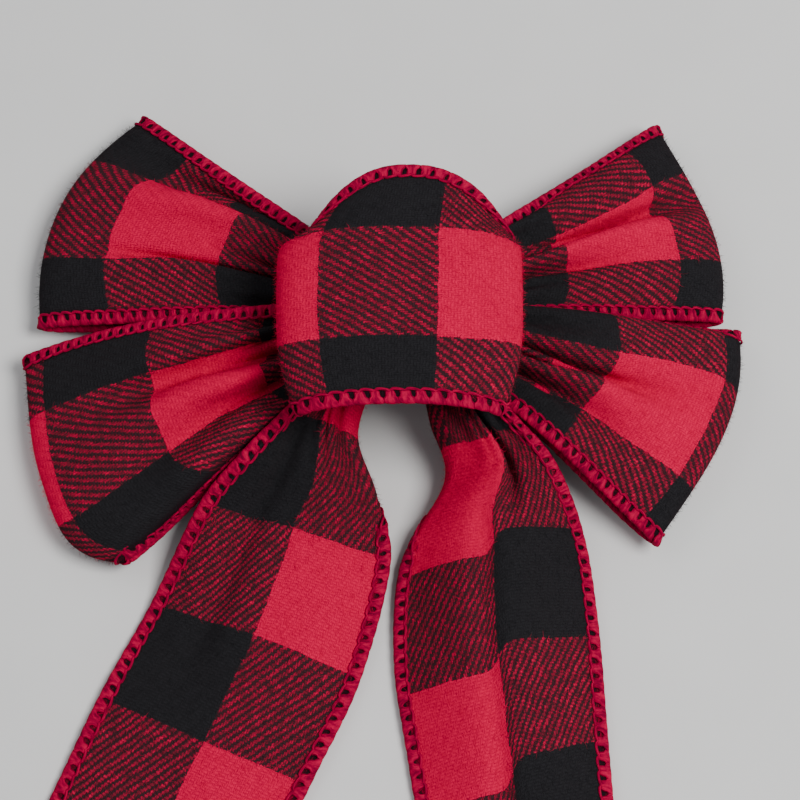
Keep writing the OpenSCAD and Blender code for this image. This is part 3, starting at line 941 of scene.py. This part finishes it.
def rounded_pad(name, outline, low, high, soft):
    """A pad with soft rims: rings of an outline, drawn in by a quarter circle at the top and the
    bottom, and closed by rings that shrink to a point."""
    angle = np.linspace(0, math.pi / 2, 7)
    inset, rise = soft * (1 - np.sin(angle)), soft * (1 - np.cos(angle))
    cap = np.linspace(0.02, 0.98, 12)
    shrink = np.concatenate([cap, np.ones(2 * len(angle)), cap[::-1]])
    insets = np.concatenate([np.full(12, soft), inset, inset[::-1], np.full(12, soft)])
    height = np.concatenate([np.full(12, low), low + rise, high - rise[::-1], np.full(12, high)])
    middle = outline.mean(axis=0)
    away = outline - middle
    reach = np.linalg.norm(away, axis=1, keepdims=True)
    rings = []
    for share, z, inside in zip(shrink, height, insets):
        flat = middle + away * share * (1 - inside / reach)
        rings.append(np.concatenate([flat, np.full((len(flat), 1), z)], axis=1))
    points = np.stack(rings)
    rows, columns = points.shape[:2]
    tips = np.array([points[0].mean(axis=0), points[-1].mean(axis=0)])
    n, k = rows * columns, np.arange(columns)
    low_cap = np.stack([(k + 1) % columns, k, np.full(columns, n)], axis=-1)
    high_cap = np.stack([k, (k + 1) % columns, np.full(columns, n + 1)], axis=-1)
    high_cap[:, :2] += (rows - 1) * columns
    faces = tube_faces(rows, columns).tolist() + low_cap.tolist() + high_cap.tolist()
    return mesh_piece(name, np.concatenate([points.reshape(-1, 3), tips]), faces)


def stadium(half_l, radius, count=96):
    """A slot-shaped outline: a circle pulled apart along X."""
    angle = np.linspace(0, 2 * math.pi, count, endpoint=False)
    x = radius * np.cos(angle) + (half_l - radius) * np.clip(np.cos(angle) * 3, -1, 1)
    return np.stack([x, radius * np.sin(angle)], axis=1)


def backing_felt():
    """The round-ended felt pad behind the knot."""
    low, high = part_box("backing_felt")
    outline = stadium(high.x, high.y)
    return rounded_pad("backing_felt_pad", outline, low.z, high.z, 0.45 * MM)


def glue_bead():
    """A flattened bead of glue, a little out of round."""
    low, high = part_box("glue_pad")
    angle = np.linspace(0, 2 * math.pi, 72, endpoint=False)
    radius = (high.x - 0.4 * MM) * (1 + 0.05 * np.sin(3 * angle) + 0.03 * np.sin(5 * angle + 1))
    outline = np.stack([radius * np.cos(angle), radius * np.sin(angle)], axis=1)
    return rounded_pad("glue_bead", outline, low.z, high.z, 0.14 * MM)


def clip_strap():
    """A felt strip carried along X: down from the backing, under the clip's arm and up again, each
    corner rounded by a short arc. Gives the piece, the strip's width and its flat length."""
    low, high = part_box("clip_strap")
    half = STRAP_T / 2
    out_y, drop_y = high.y, high.y - 3 * MM - half
    top_z, low_z = high.z - half, low.z + half
    corner = 0.55 * MM
    bend = np.linspace(0, math.pi / 2, 6)
    sine, cosine = corner * np.sin(bend), corner * np.cos(bend)
    upper = np.stack([drop_y + corner - sine, top_z - corner + cosine], axis=1)
    lower = np.stack([drop_y - corner + cosine, low_z + corner - sine], axis=1)
    half_line = np.concatenate([[[out_y, top_z]], upper, lower])
    line = np.concatenate([half_line, half_line[::-1] * np.array([-1, 1])])
    forward = unit(np.gradient(line, axis=0))
    across = np.stack([-forward[:, 1], forward[:, 0]], axis=1)
    half_felt = across * half * 0.96  # a little thinner than the strap's room
    loop = np.concatenate([line + half_felt, (line - half_felt)[::-1]])
    xs = np.linspace(low.x, high.x, 25)
    points = np.stack([np.concatenate([np.full((len(loop), 1), x), loop], axis=1) for x in xs])
    rows, columns = points.shape[:2]
    faces = tube_faces(rows, columns).tolist()
    for start, turned in ((0, False), ((rows - 1) * columns, True)):
        for k in range(columns // 2 - 1):
            quad = [start + k, start + k + 1, start + columns - 2 - k, start + columns - 1 - k]
            faces.append(quad if turned else quad[::-1])
    piece = mesh_piece("clip_strap_felt", points, faces, rounded=False)
    return piece, high.x - low.x, float(path_lengths(line)[-1])


def clip_spring():
    """A torsion spring: a helix round the pin with a leg out to each lever. The lower leg is a piece of
    its own, because it swings with the lower lever round the same axis."""
    pin_low, pin_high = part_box("clip_pin")
    low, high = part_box("clip_spring")
    pin_x, pin_z = (pin_low.x + pin_high.x) / 2, (pin_low.z + pin_high.z) / 2
    coil, half = 1.35 * MM, high.y - SPRING_RADIUS
    last = 2 * math.pi * 4.5

    def turns(start, count):
        turn = np.linspace(start, last, count)
        y = -half + 2 * half * turn / last
        return np.stack([pin_x + coil * np.sin(turn), y, pin_z + coil * np.cos(turn)], axis=1)

    near_x, far_x = pin_x - 4 * MM, pin_x - 11 * MM
    upper = np.array([[far_x, -half, high.z - SPRING_RADIUS], [near_x, -half, pin_z + 2.4 * MM]])
    lower = np.array([[near_x, half, pin_z - 1.5 * MM], [far_x, half, low.z + SPRING_RADIUS]])
    level = (0.0, 1.0, 0.0)
    coiled = np.concatenate([upper, turns(0, 220)])
    overlap = math.radians(32)  # the leg starts this far back round the coil, so no gap opens
    swinging = np.concatenate([turns(last - overlap, 10), lower])
    return (
        tube_piece("clip_spring_coil", [free_tube(coiled, SPRING_RADIUS, 10, level)]),
        tube_piece("clip_spring_leg", [free_tube(swinging, SPRING_RADIUS, 10, level)]),
    )


dressed(tie_wire(), WIRE, "bow", "edge_wire", "tie_wire")
pad = dressed(backing_felt(), FELT, "bow", "felt", "backing_felt")
dressed(glue_bead(), GLUE, "bow", "hot_glue", "glue_pad")
strap, strap_width, strap_length = clip_strap()
dressed(strap, FELT, "bow", "felt", "clip_strap")
spring_coil, spring_leg = clip_spring()
dressed(spring_coil, WIRE, "bow", "spring_steel", "clip_spring")
dressed(spring_leg, WIRE, "lower_jaw", "spring_steel")
for node in ("clip_upper_arm", "clip_lower_arm", "clip_pin"):
    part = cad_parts[node]
    part.data.materials.clear()
    part.data.materials.append(NICKEL)

# -------------------- floor, light and camera


def studio():
    """A pale floor under the bow, one wide soft light above and a weak fill."""
    corners = np.array([[-3, -3, REST], [3, -3, REST], [3, 3, REST], [-3, 3, REST]], float)
    floor = mesh_piece("floor", corners, [[0, 1, 2, 3]])
    material, w, shader = new_material("pale floor")
    place = w.node("ShaderNodeTexCoord").outputs["Object"]
    grey = w.blend(w.noise(place, 30, 2), linear(206, 205, 203), linear(214, 213, 211))
    w.feed(shader.inputs["Base Color"], grey)
    shader.inputs["Roughness"].default_value = 0.8
    floor.data.materials.append(material)
    for name, place, size, power in (
        ("key light", (0.55, -0.15, 1.0), 0.5, 15.5),
        ("fill light", (-0.8, 0.4, 0.8), 0.8, 3),
    ):
        lamp = bpy.data.lights.new(name, "AREA")
        lamp.size, lamp.energy = size, power
        holder = bpy.data.objects.new(name, lamp)
        holder.location = place
        direction = -np.array(place)
        holder.rotation_euler = (
            math.atan2(math.hypot(direction[0], direction[1]), -direction[2]),
            0,
            math.atan2(direction[1], direction[0]) - math.pi / 2,
        )
        bpy.context.scene.collection.objects.link(holder)
    world = bpy.data.worlds.new("soft room")
    world.use_nodes = True
    background = world.node_tree.nodes["Background"]
    background.inputs["Color"].default_value = (0.93, 0.95, 1.0, 1)
    background.inputs["Strength"].default_value = 0.42
    bpy.context.scene.world = world


def camera():
    """A long lens above the lower side of the bow."""
    elevation, distance = math.radians(72), 0.75
    target = np.array([-0.4 * MM, -19.5 * MM, REST])
    data = bpy.data.cameras.new("camera")
    data.lens, data.sensor_width = 123, 36
    holder = bpy.data.objects.new("camera", data)
    holder.location = target + distance * np.array([0, -math.cos(elevation), math.sin(elevation)])
    holder.rotation_euler = (math.pi / 2 - elevation, 0, 0)
    bpy.context.scene.collection.objects.link(holder)
    bpy.context.scene.camera = holder


studio()
camera()
